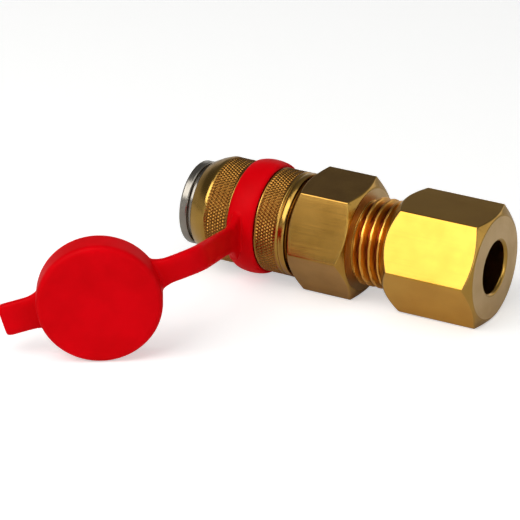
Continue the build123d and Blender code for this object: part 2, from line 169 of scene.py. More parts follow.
@dataclass(frozen=True)
class Metal:
    """A machined or plated metal: tool marks, uneven tone, and painted shade in its grooves.

    Real tool marks lie about 0.05 mm apart. They are drawn a few times coarser, and as much
    shallower in slope, so that they show at the render's scale.
    """

    name: str
    colour: str
    tarnish: str
    roughness: float
    lay: Lay = Lay.TURNED
    mark_spacing: float = 0.3
    mark_depth: float = 0.004
    tarnish_share: float = 0.5
    patch_size: float = 4.0
    groove_shade: str | None = None

    def marks(self, tree: NodeTree) -> NodeSocket:
        """Makes the tool marks as stretched noise, from the point p = (x, y, z).

        Turned marks vary with x and with the radius, and only slowly about the axis; drawn
        marks vary across the bar and only slowly along it; plain ones vary in every way.

        Args:
            tree: the material's node tree.

        Returns:
            The height of the marks, from 0 to 1.
        """
        place = add(tree, "TexCoord").outputs["Object"]
        fine = 1 / (self.mark_spacing * MM)
        if self.lay is Lay.TURNED:
            across = add(tree, "VectorMath", {"operation": "MULTIPLY", 1: (0, 1, 1)}, in0=place)
            radius = add(tree, "VectorMath", {"operation": "LENGTH"}, in0=across.outputs[0])
            outward = add(tree, "VectorMath", {"operation": "NORMALIZE"}, in0=across.outputs[0])
            rings = {"operation": "MULTIPLY_ADD", 1: (fine, 0, 0)}
            vector = add(tree, "VectorMath", rings, in0=place, in2=outward.outputs[0])
            depth = add(tree, "Math", {"operation": "MULTIPLY", 1: fine}, in0=radius.outputs["Value"])
            grain = {"noise_dimensions": "4D", "Scale": 1.0, "Detail": 2.0}
            noise = add(tree, "TexNoise", grain, Vector=vector.outputs[0], W=depth.outputs[0])
            return noise.outputs["Fac"]
        stretch = (fine / LINE_STRETCH, fine, fine) if self.lay is Lay.DRAWN else (fine, fine, fine)
        vector = add(tree, "Mapping", {"Scale": stretch}, Vector=place)
        noise = add(tree, "TexNoise", {"Scale": 1.0, "Detail": 2.0}, Vector=vector.outputs[0])
        return noise.outputs["Fac"]

    def make(self) -> Material:
        """Builds the material.

        Returns:
            The finished material.
        """
        material, tree, shader = new_material(self.name)
        marks = self.marks(tree)
        place = add(tree, "TexCoord").outputs["Object"]
        patches = add(tree, "TexNoise", {"Scale": 1 / (self.patch_size * MM), "Detail": 4.0}, Vector=place)
        spread = {"From Min": NOISE_LOW, "From Max": 0.7, "To Max": self.tarnish_share}
        share = add(tree, "MapRange", spread, Value=patches.outputs["Fac"])
        tones = {"data_type": "RGBA", 6: linear(self.colour), 7: linear(self.tarnish)}
        tone = add(tree, "Mix", tones, in0=share.outputs[0]).outputs[2]
        # Painted shade: the grooves are mixed towards a darker colour by the per-vertex groove attribute
        if self.groove_shade:
            shade_amount = add(tree, "Attribute", {"attribute_name": "groove"})
            shaded_tones = {"data_type": "RGBA", 7: linear(self.groove_shade)}
            tone = add(tree, "Mix", shaded_tones, in0=shade_amount.outputs["Fac"], in6=tone).outputs[2]
        spread = (self.roughness * 0.8, self.roughness * 1.25)
        cover(tree, shader, tone, marks, spread, marks, self.mark_depth)
        shader.inputs["Metallic"].default_value = 1.0
        return material


@dataclass(frozen=True)
class Moulding:
    """A soft plastic or rubber: nearly even colour, a fine mould grain and slow swells."""

    name: str
    colour: str
    shade: str
    roughness: float
    grain_size: float = 0.3
    grain_depth: float = 0.008
    specular: float = 0.5
    softness: float = 0.0
    swell_size: float = 6.25

    def make(self) -> Material:
        """Builds the material.

        Returns:
            The finished material.
        """
        material, tree, shader = new_material(self.name)
        place = add(tree, "TexCoord").outputs["Object"]
        swell, grain = (
            add(tree, "TexNoise", {"Scale": 1 / (size * MM), "Detail": detail}, Vector=place)
            for size, detail in ((self.swell_size, 3.0), (self.grain_size, 2.0))
        )
        spread = {"From Min": NOISE_LOW, "From Max": 1 - NOISE_LOW}
        share = add(tree, "MapRange", spread, Value=swell.outputs["Fac"])
        tones = {"data_type": "RGBA", 6: linear(self.colour), 7: linear(self.shade)}
        tone = add(tree, "Mix", tones, in0=share.outputs[0])
        spread = (self.roughness * 0.85, self.roughness * 1.15)
        tone, swell, grain = tone.outputs[2], swell.outputs["Fac"], grain.outputs["Fac"]
        cover(tree, shader, tone, swell, spread, grain, self.grain_depth)
        shader.inputs["Specular IOR Level"].default_value = self.specular
        shader.inputs["Subsurface Weight"].default_value = self.softness
        shader.inputs["Subsurface Scale"].default_value = 0.6 * MM
        return material


# Cold-drawn hexagon bar: flats with faint lines along the bar, satin and slightly patchy
BAR_BRASS = Metal("drawn brass bar", "#B88C44", "#9C7232", 0.19, Lay.DRAWN, 0.35, 0.003, 0.6)
# The nut's bar is given a brighter colour than the body's bar: painted light, so that its lit flat glows
# yellow
NUT_BRASS = Metal("drawn brass painted brighter", "#D09E40", "#BC8830", 0.18, Lay.DRAWN, 0.35, 0.002, 0.5)
# Turned faces: rings about the axis that break each highlight into fine arcs
TURNED_BRASS = Metal("turned brass", "#C09648", "#9C7638", 0.2)
# Sawn and faced ends: a paler, duller face than the turned sides, with coarse rings
FACED_BRASS = Metal("faced brass bar end", "#DDBC88", "#C09A60", 0.36, Lay.TURNED, 0.4, 0.006)
# Cut thread: bright crests and flanks, red-brown painted shade in the roots
THREAD_BRASS = Metal("cut brass thread", "#EDB050", "#D4943A", 0.28, groove_shade="#6A260C")
# Rolled knurl: bright tips over cuts darkened with painted shade
KNURL_BRASS = Metal(
    "knurled brass", "#B6823A", "#865A24", 0.26, Lay.PLAIN, 0.3, 0.004, 0.7, 2.5, "#6A4018"
)
# Pieces inside, plain turned and never polished: a broader, duller shine
INNER_BRASS = Metal("plain turned brass", "#B98F48", "#94682C", 0.3)
RING_BRASS = Metal("turned brass ring", "#B48A46", "#8E682E", 0.28)
# Nickel over turned brass: grey with a warm cast
NICKEL = Metal("nickel plating on turned brass", "#A09A90", "#7E776C", 0.24)
# Drawn wire: grey, with a soft streak of light along each coil
SPRING_WIRE = Metal("drawn stainless wire", "#9C9C9E", "#77777A", 0.3, Lay.PLAIN)
# Ground and polished balls: small hard highlights
BALL_STEEL = Metal("polished bearing steel", "#B4B4B8", "#9A9AA0", 0.12, Lay.PLAIN, mark_depth=0.0005)
# Soft moulded PVC: deep even red with a broad dull sheen
RED_PVC = Moulding("soft moulded red PVC", "#EC000E", "#DE000A", 0.45, specular=0.04, softness=0.03)
# Nitrile rubber: near black, matt
SEAL_RUBBER = Moulding("moulded nitrile rubber", "#1B1B1C", "#121213", 0.6)


# Surfaces


def rounded(corners: Grid, cut: float, steps: int = CORNER_STEPS) -> Grid:
    """Breaks the inner corners of an open outline.

    Each corner P gives way to the curve (1-t)^2 A + 2t(1-t) P + t^2 B, where A and B lie on
    the two legs at the cut's distance from P, or at LEG_SHARE of the leg if that is less.

    Args:
        corners: the outline, as corners by angles by 2.
        cut: how far each corner is cut back along its legs.
        steps: segments in each curve.

    Returns:
        The stations of the outline, with its two ends as they were.
    """
    inner = corners[1:-1]
    back = corners[:-2] - inner
    ahead = corners[2:] - inner
    back_length = np.linalg.norm(back, axis=-1, keepdims=True)
    ahead_length = np.linalg.norm(ahead, axis=-1, keepdims=True)
    start = inner + back / back_length * np.minimum(cut, LEG_SHARE * back_length)
    end = inner + ahead / ahead_length * np.minimum(cut, LEG_SHARE * ahead_length)
    t = np.linspace(0, 1, steps + 1).reshape(1, -1, *([1] * (corners.ndim - 1)))
    curve = (1 - t) ** 2 * start[:, None] + 2 * t * (1 - t) * inner[:, None] + t**2 * end[:, None]
    curve = curve.reshape(-1, *corners.shape[1:])
    return np.concatenate([corners[:1], curve, corners[-1:]])


def outline(points: list[tuple], angles: Grid) -> Grid:
    """Sets out corners whose place or radius may be a number or an array over the angles.

    Args:
        points: pairs of X and radius.
        angles: the angles, which give the number of columns.

    Returns:
        Corners by angles by 2.
    """
    pairs = [[np.broadcast_to(np.asarray(v, float), angles.shape) for v in point] for point in points]
    return np.array(pairs).transpose(0, 2, 1)


def paired(x: Grid, r: Grid) -> Grid:
    """Pairs a column of X with the radius at each angle, as stations by angles by 2."""
    return np.stack([np.broadcast_to(x, r.shape), r], axis=-1)


def about_axis(stations: Grid, angles: Grid) -> Grid:
    """Turns stations of X and radius into points: (x, r cos a, r sin a).

    Args:
        stations: stations by angles by 2.
        angles: the angle of each column.

    Returns:
        Stations by angles by 3.
    """
    x, r = stations[..., 0], stations[..., 1]
    return np.stack([x, r * np.cos(angles), r * np.sin(angles)], axis=-1)


@dataclass
class Skin:
    """A closed surface on a grid of points that joins itself across every row.

    Along the grid, the last row joins the first, or a pole in the middle of each end row
    closes it with a fan.
    """

    points: Grid
    poles: bool = False

    def faces(self) -> tuple[Grid, Grid, Grid]:
        """Works out the vertices and faces, turned so that the enclosed volume is positive.

        The quad of row i and column j joins (i, j), (i+1, j), (i+1, j+1) and (i, j+1). The
        volume is the sum of a . (b x c) / 6 over the triangles.

        Returns:
            The vertices, the quads and the triangles.
        """
        rows, columns = self.points.shape[:2]
        index = np.arange(rows * columns).reshape(rows, columns)
        here = index[:-1] if self.poles else index
        along = index[1:] if self.poles else np.roll(index, -1, axis=0)
        quads = np.stack([here, along, np.roll(along, -1, axis=1), np.roll(here, -1, axis=1)], axis=-1)
        quads = quads.reshape(-1, 4)
        points = self.points.reshape(-1, 3)
        triangles = np.zeros((0, 3), int)
        if self.poles:
            first, last = index[0], index[-1]
            low = np.full(columns, len(points))
            fans = [
                np.stack([low, first, np.roll(first, -1)], axis=-1),
                np.stack([low + 1, np.roll(last, -1), last], axis=-1),
            ]
            triangles = np.concatenate(fans)
            points = np.concatenate([points, [self.points[0].mean(0), self.points[-1].mean(0)]])
        a, b, c, d = (points[quads[:, k]] for k in range(4))
        volume = np.einsum("ij,ij->", a, np.cross(b, c)) + np.einsum("ij,ij->", a, np.cross(c, d))
        if volume < 0:
            quads, triangles = quads[:, ::-1], triangles[:, ::-1]
        return points, quads, triangles


def mesh_object(name: str, skins: list[Skin], groove: Grid | None = None) -> Object:
    """Makes one object of closed skins and links it to the scene.

    Args:
        name: the object's name.
        skins: the surfaces.
        groove: the painted shade at each vertex, from 0 to 1.

    Returns:
        The new object.
    """
    points, quads, triangles, count = [], [], [], 0
    for skin in skins:
        vertices, four, three = skin.faces()
        points.append(vertices)
        quads.append(four + count)
        triangles.append(three + count)
        count += len(vertices)
    points, quads, triangles = (np.concatenate(part) for part in (points, quads, triangles))
    mesh = bpy.data.meshes.new(name)
    mesh.vertices.add(len(points))
    mesh.vertices.foreach_set("co", (points * MM).ravel())
    corners = np.concatenate([quads.ravel(), triangles.ravel()]).astype(np.int32)
    mesh.loops.add(len(corners))
    mesh.loops.foreach_set("vertex_index", corners)
    starts = np.concatenate([np.arange(len(quads)) * 4, quads.size + np.arange(len(triangles)) * 3])
    mesh.polygons.add(len(starts))
    mesh.polygons.foreach_set("loop_start", starts.astype(np.int32))
    mesh.update(calc_edges=True)
    mesh.validate()
    # Painted shade per vertex, read by the metals' groove colour
    if groove is not None:
        shade_amount = mesh.attributes.new("groove", "FLOAT", "POINT")
        shade_amount.data.foreach_set("value", groove.astype(np.float32).ravel())
    mesh.shade_smooth()
    thing = bpy.data.objects.new(name, mesh)
    bpy.context.scene.collection.objects.link(thing)
    return thing


def flat_faces(thing: Object, angle: float = 38.0) -> None:
    """Keeps large faces flat up to their rounded edges, and sharp edges sharp.

    Args:
        thing: the object.
        angle: the angle in degrees past which an edge is sharp.
    """
    thing.data.set_sharp_from_angle(angle=math.radians(angle))
    thing.modifiers.new("flat faces stay flat", "WEIGHTED_NORMAL").keep_sharp = True


def paint_rows(thing: Object, finishes: list[Metal], starts: list[int], columns: int) -> None:
    """Gives each band of rows its own finish.

    Args:
        thing: the object whose faces run row by row.
        finishes: the finish of each band.
        starts: the first row of each band.
        columns: faces in a row.
    """
    order = {}
    for finish in finishes:
        if finish not in order:
            order[finish] = len(order)
            thing.data.materials.append(finish.make())
    rows = np.arange(len(thing.data.polygons)) // columns
    band = np.searchsorted(starts, rows, side="right") - 1
    numbers = np.array([order[finish] for finish in finishes], np.int32)
    thing.data.polygons.foreach_set("material_index", numbers[band])


def settle(thing: Object, node: str, body: str) -> Object:
    """Puts a piece in a node's place: it stands for the node and rides its body.

    Args:
        thing: the piece.
        node: the CAD node it stands for.
        body: the body it rides on.

    Returns:
        The piece.
    """
    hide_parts(node)
    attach(thing, body)
    return thing


# Sub-assemblies


@dataclass
class Hexagon:
    """The section of a hexagon bar with its corners rounded, one corner on the Y axis."""

    flats: float = 17.0
    corner_round: float = 0.35
    flat_steps: int = 12
    corner_steps: int = 6

    def corner(self) -> Pair:
        """Gives the distance of a corner round's centre, and the angle where the round ends."""
        centre = (self.flats / 2 - self.corner_round) / math.cos(math.pi / 6)
        reach = centre + self.corner_round * math.cos(math.pi / 6)
        return centre, math.atan2(self.corner_round / 2, reach)

    def angles(self) -> Grid:
        """Gives one turn of angles, close together at the six corners."""
        edge = self.corner()[1]
        corner = np.linspace(-edge, edge, self.corner_steps, endpoint=False)
        flat = np.linspace(edge, math.pi / 3 - edge, self.flat_steps, endpoint=False)
        return (np.arange(6)[:, None] * math.pi / 3 + np.concatenate([corner, flat])).ravel()

    def radius(self, angles: Grid) -> Grid:
        """Gives the section's radius at each angle.

        On a flat it is half the flats over the cosine of the angle from the flat's middle. At a
        corner it is c cos f + sqrt(q^2 - c^2 sin^2 f), for a round of radius q centred at c.

        Args:
            angles: angles from the Y axis.

        Returns:
            The radius at each angle.
        """
        centre, edge = self.corner()
        away = (angles + math.pi / 6) % (math.pi / 3) - math.pi / 6
        flat = self.flats / 2 / np.cos(math.pi / 6 - np.abs(away))
        under = np.maximum(self.corner_round**2 - (centre * np.sin(away)) ** 2, 0)
        return np.where(np.abs(away) <= edge + 1e-9, centre * np.cos(away) + np.sqrt(under), flat)

    def chamfer(self, radius: Grid, circle: float, angle: float) -> Grid:
        """Gives how far back an end's chamfer reaches at each radius: (r - circle) tan angle."""
        return (radius - circle) * math.tan(math.radians(angle))


@dataclass
class Thread:
    """The metric thread M14 x 1.5 that joins body and nut."""

    radius: float = 7.0
    pitch: float = 1.5
    rows_per_turn: int = 16
    play: float = 0.05
    nut_crest: float = 6.38
    inset: float = 0.02
    depth_share: float = 0.6134
    root_width: float = 0.1
    flank_width: float = 0.3
    flank_ease: float = 0.4

    def rows(self, start: float, end: float) -> Grid:
        """Gives the X of each row from start to end, as a column."""
        count = int(abs(end - start) / self.pitch * self.rows_per_turn) + 2
        return np.linspace(start, end, count)[:, None]

    def rise(self, x: Grid, angles: Grid) -> Grid:
        """Gives how far the male profile has risen from its root, from 0 to 1.

        With the phase u = x / pitch - a / 2 pi, the distance w from the nearest whole u goes
        from 0 at a root to 0.5 at a crest. The rise is 0 in the root, goes up the flank, a mix
        of a straight line and one eased at both ends, and is 1 on the crest.

        Args:
            x: places along the axis.
            angles: the angle of each column.

        Returns:
            The rise at each x and angle.
        """
        away = np.abs((x / self.pitch - angles / TURN + 0.5) % 1 - 0.5)
        flank = np.clip((away - self.root_width) / self.flank_width, 0, 1)
        return flank * (1 - self.flank_ease) + flank * flank * (3 - 2 * flank) * self.flank_ease

    def male(self, x: Grid, angles: Grid) -> Grid:
        """Gives the stub's radius: from the root, a share of the pitch deep, to the crest."""
        depth = self.depth_share * self.pitch
        return self.radius - self.inset - depth * (1 - self.rise(x, angles))

    def female(self, x: Grid, angles: Grid) -> Grid:
        """Gives the nut's radius: the male one plus the play, cut off at the nut's crest."""
        return np.clip(self.male(x, angles) + self.play, self.nut_crest, self.radius + self.play)


@dataclass
class Sleeve:
    """The sliding sleeve: a turned tube with diamond knurl on both sides of the cap's ring."""

    front: float = 1.8
    rear: float = 19.0
    radius: float = 8.25
    tip_radius: float = 6.95
    bevel: float = 2.8
    nose_bore: float = 6.7
    lip: Pair = (3.25, 3.85)
    lip_radius: float = 6.2
    relief_radius: float = 6.95
    cone_front: float = 5.03
    land: Pair = (7.38, 9.48)
    chamber_radius: float = 7.15
    groove: Pair = (9.0, 13.8)
    groove_depth: float = 0.25
    bead: float = 0.5
    rim: float = 1.0
    rim_groove: float = 0.4
    knurl_edge: float = 0.14
    diamonds: int = 96
    knurl_angle: float = 32.0
    knurl_depth: float = 0.17
    knurl_tip: float = 0.14
    knurl_fade: float = 0.2
    knurl_clear: float = 0.08
    bulge: Pair = (0.52, 0.6)
    inset: float = 0.02
    shoulder: float = 0.06
    rim_step: float = 0.1
    seat_round: float = 0.04
    edge_round: float = 0.3
    edge_steps: int = 2
    crease: float = 50.0
    columns: int = 672
    rows_per_mm: float = 10.5

    def knurled(self, start: float, end: float, angles: Grid) -> tuple[Grid, Grid]:
        """Gives the stations of a knurled band.

        Two families of V grooves run at the knurl's angle to the axis, both ways round. With the
        phase u = n a / 2 pi +- x tan(angle) n / 2 pi r, a groove's depth falls from 1 at whole u
        to 0 midway between, and the deeper of the two cuts the surface. The tips are blunt, and
        the cut fades at the band's ends.

        Args:
            start: the band's first X.
            end: the band's last X.
            angles: the angle of each column.

        Returns:
            The stations, and the painted shade at each point, deepest in the cuts.
        """
        x = np.linspace(start, end, int((end - start) * self.rows_per_mm) + 2)[:, None]
        turn = self.diamonds * angles / TURN
        lead = self.diamonds * math.tan(math.radians(self.knurl_angle)) / (TURN * self.radius)
        depth = [np.abs(2 * ((turn + way * x * lead) % 1) - 1) for way in (1, -1)]
        cut = np.maximum(*depth)
        fade = np.clip(np.minimum(x - start, end - x) / self.knurl_fade, 0, 1)
        sunk = np.clip((cut - self.knurl_tip) / (1 - self.knurl_tip), 0, 1) * fade
        stations = paired(x, self.radius - self.inset - self.knurl_depth * sunk)
        return stations, np.clip((sunk - 0.5) / 0.5, 0, 1)

    def build(self) -> Object:
        """Builds the sleeve as one closed surface and lets it ride on its body.

        Returns:
            The sleeve.
        """
        angles = np.linspace(0, TURN, self.columns, endpoint=False)
        low, high = self.radius - self.groove_depth, self.radius - self.inset
        rim = self.rear - self.rim
        step = rim - self.rim_groove - self.rim_step
        bevel_end = self.front + self.bevel
        groove_front, groove_rear = self.groove
        along, up = self.bulge
        swell = (self.front + self.bevel * along, self.tip_radius + (self.radius - self.tip_radius) * up)
        front, front_shade = self.knurled(bevel_end + self.bead, groove_front - self.knurl_edge, angles)
        rear, rear_shade = self.knurled(groove_rear + self.knurl_edge, step - self.knurl_clear, angles)
        wall = [(self.shoulder, high), (0.0, high), (0.0, low)]
        seat = [(groove_front - x, r) for x, r in wall] + [(groove_rear + x, r) for x, r in wall[::-1]]
        rest = [
            (step, high),
            (rim - self.rim_groove, high),
            (rim - self.rim_groove / 2, low),
            (rim, self.radius),
            (self.rear, self.radius),
            (self.rear, self.chamber_radius),
            (self.land[1], self.chamber_radius),
            (self.land[1], self.lip_radius),
            (self.land[0], self.lip_radius),
            (self.cone_front, self.relief_radius),
            (self.lip[1], self.relief_radius),
            (self.lip[1], self.lip_radius),
            (self.lip[0], self.lip_radius),
            (self.lip[0], self.nose_bore),
            (self.front, self.nose_bore),
            (self.front, self.tip_radius),
            swell,
            (bevel_end, self.radius),
            (bevel_end + self.bead * 0.8, self.radius),
        ]
        seat, rest = (
            rounded(outline(corners, angles), cut, self.edge_steps)
            for corners, cut in ((seat, self.seat_round), (rest, self.edge_round))
        )
        bands = [front, seat, rear, rest]
        # Painted shade: deep in the knurl's cuts, and a little over the groove under the cap's ring
        shade_amount = [front_shade, np.full(seat.shape[:2], 0.2), rear_shade, np.zeros(rest.shape[:2])]
        grid = about_axis(np.concatenate(bands), angles)
        thing = mesh_object("knurled_sleeve", [Skin(grid)], np.concatenate(shade_amount))
        thing.data.set_sharp_from_angle(angle=math.radians(self.crease))
        starts = np.cumsum([0] + [len(band) for band in bands[:-1]])
        paint_rows(thing, [KNURL_BRASS, TURNED_BRASS, KNURL_BRASS, TURNED_BRASS], starts, self.columns)
        return settle(thing, "sleeve", "sleeve")


@dataclass
class Body:
    """The brass body: neck, collar, hexagon and the male thread of the tube end."""

    section: Hexagon = field(default_factory=Hexagon)
    thread: Thread = field(default_factory=Thread)
    neck: Pair = (14.8, 16.6)
    neck_radius: float = 5.28
    collar_radius: float = 7.05
    hexagon: Pair = (19.6, 29.6)
    turn: float = 4.0
    chamfer_circle: float = 8.16
    chamfer_angle: float = 30.0
    undercut_radius: float = 6.2
    undercut_end: float = 30.4
    run_out: float = 0.5
    stub_end: float = 40.6
    stub_chamfer: float = 0.8
    chamber_radius: float = 4.6
    chamber_end: float = 23.6
    through_radius: float = 3.0
    tube_stop: float = 33.6
    tube_radius: float = 4.05
    cone_start: float = 35.9
    cone_radius: float = 5.05
    outer_round: float = 0.14
    inner_round: float = 0.05
    overlap: float = 0.02
    run_out_slope: float = 1.6
    shade_fall: float = 2.6

    def threaded(self, angles: Grid) -> tuple[Grid, Grid]:
        """Gives the stations of the male thread, run out into the undercut and chamfered.

        Args:
            angles: the angle of each column.

        Returns:
            The stations, and the grime at each point.
        """
        start = self.undercut_end - self.run_out
        x = self.thread.rows(start, self.stub_end - self.overlap)
        lead_in = self.undercut_radius + (x - start) * self.run_out_slope
        lead_out = self.thread.radius - self.stub_chamfer + (self.stub_end - x)
        r = np.minimum(self.thread.male(x, angles), np.minimum(lead_in, lead_out))
        # Painted shade: 1 in the roots, falling to 0 up the flanks
        return paired(x, r), np.clip(1 - self.thread.rise(x, angles) * self.shade_fall, 0, 1)

    def build(self) -> Object:
        """Builds the body as one closed surface and lets it ride on its body.

        Returns:
            The body.
        """
        angles = self.section.angles()
        hex_radius = self.section.radius(angles)
        angles = angles + math.radians(self.turn)
        circle = self.chamfer_circle
        fall = self.section.chamfer(hex_radius, circle, self.chamfer_angle)
        front, rear = self.hexagon
        outside = [
            (self.neck[0] + 0.3, self.neck_radius),
            (self.neck[1], self.neck_radius),
            (self.neck[1], self.collar_radius),
            (front, self.collar_radius),
            (front, circle),
            (front + fall, hex_radius),
            (rear - fall, hex_radius),
            (rear, circle),
            (rear, self.undercut_radius),
            (self.undercut_end - self.run_out - self.overlap, self.undercut_radius),
        ]
        inside = [
            (self.stub_end, self.thread.radius - self.stub_chamfer),
            (self.stub_end, self.cone_radius),
            (self.cone_start, self.tube_radius),
            (self.tube_stop, self.tube_radius),
            (self.tube_stop, self.through_radius),
            (self.chamber_end, self.through_radius),
            (self.chamber_end, self.chamber_radius),
            (self.neck[0], self.chamber_radius),
            (self.neck[0], self.neck_radius),
            (self.neck[0] + 0.2, self.neck_radius),
        ]
        start = rounded(outline(outside, angles), self.outer_round)
        thread, groove_shade = self.threaded(angles)
        rest = rounded(outline(inside, angles), self.inner_round)
        shade_amount = np.concatenate([np.zeros(start.shape[:2]), groove_shade, np.zeros(rest.shape[:2])])
        grid = about_axis(np.concatenate([start, thread, rest]), angles)
        thing = mesh_object("hexagon_body", [Skin(grid)], shade_amount)
        flat_faces(thing)
        flats = 5 * CORNER_ROWS
        face = flats + 2 * CORNER_ROWS
        stub = len(start) - 1
        starts = [0, flats, flats + 1, face, face + 1, stub, stub + len(thread)]
        turned = TURNED_BRASS
        finishes = [turned, BAR_BRASS, turned, FACED_BRASS, turned, THREAD_BRASS, turned]
        paint_rows(thing, finishes, starts, len(angles))
        return settle(thing, "hex_body", "body")


@dataclass
class Nut:
    """The compression nut: a hexagon with chamfered ends, bored for the thread, ring and tube."""

    section: Hexagon = field(default_factory=Hexagon)
    thread: Thread = field(default_factory=Thread)
    front: float = 35.6
    rear: float = 51.0
    chamfer_circle: float = 8.16
    front_angle: float = 45.0
    rear_angle: float = 30.0
    thread_depth: float = 7.6
    front_mouth: float = 0.5
    cone_radius: float = 6.3
    cone_start: float = 43.57
    tube_radius: float = 4.05
    mouth: float = 0.35
    edge_round: float = 0.16
    overlap: float = 0.02

    def build(self) -> Object:
        """Builds the nut as one closed surface and lets it ride on its body.

        Returns:
            The nut.
        """
        angles = self.section.angles()
        hex_radius = self.section.radius(angles)
        circle = self.chamfer_circle
        steep = self.section.chamfer(hex_radius, circle, self.front_angle)
        fall = self.section.chamfer(hex_radius, circle, self.rear_angle)
        bore = self.thread.radius + self.thread.play
        thread_end = self.front + self.thread_depth
        corners = [
            (self.front, bore + self.front_mouth + 0.1),
            (self.front, circle),
            (self.front + steep, hex_radius),
            (self.rear - fall, hex_radius),
            (self.rear, circle),
            (self.rear, self.tube_radius + self.mouth),
            (self.rear - self.mouth, self.tube_radius),
            (self.cone_start + self.cone_radius - self.tube_radius, self.tube_radius),
            (self.cone_start, self.cone_radius),
            (thread_end, self.cone_radius),
            (thread_end - self.overlap, self.thread.nut_crest),
        ]
        shell = rounded(outline(corners, angles), self.edge_round)
        x = self.thread.rows(thread_end - 2 * self.overlap, self.front + self.overlap)
        mouth = bore + self.front_mouth - (x - self.front)
        thread = paired(x, np.maximum(self.thread.female(x, angles), mouth))
        thing = mesh_object("nut_hexagon", [Skin(about_axis(np.concatenate([shell, thread]), angles))])
        flat_faces(thing)
        flats = 2 * CORNER_ROWS
        face = flats + 2 * CORNER_ROWS
        finishes = [TURNED_BRASS, NUT_BRASS, TURNED_BRASS, FACED_BRASS, TURNED_BRASS]
        paint_rows(thing, finishes, [0, flats, flats + 1, face, face + 1], len(angles))
        return settle(thing, "compression_nut", "nut")


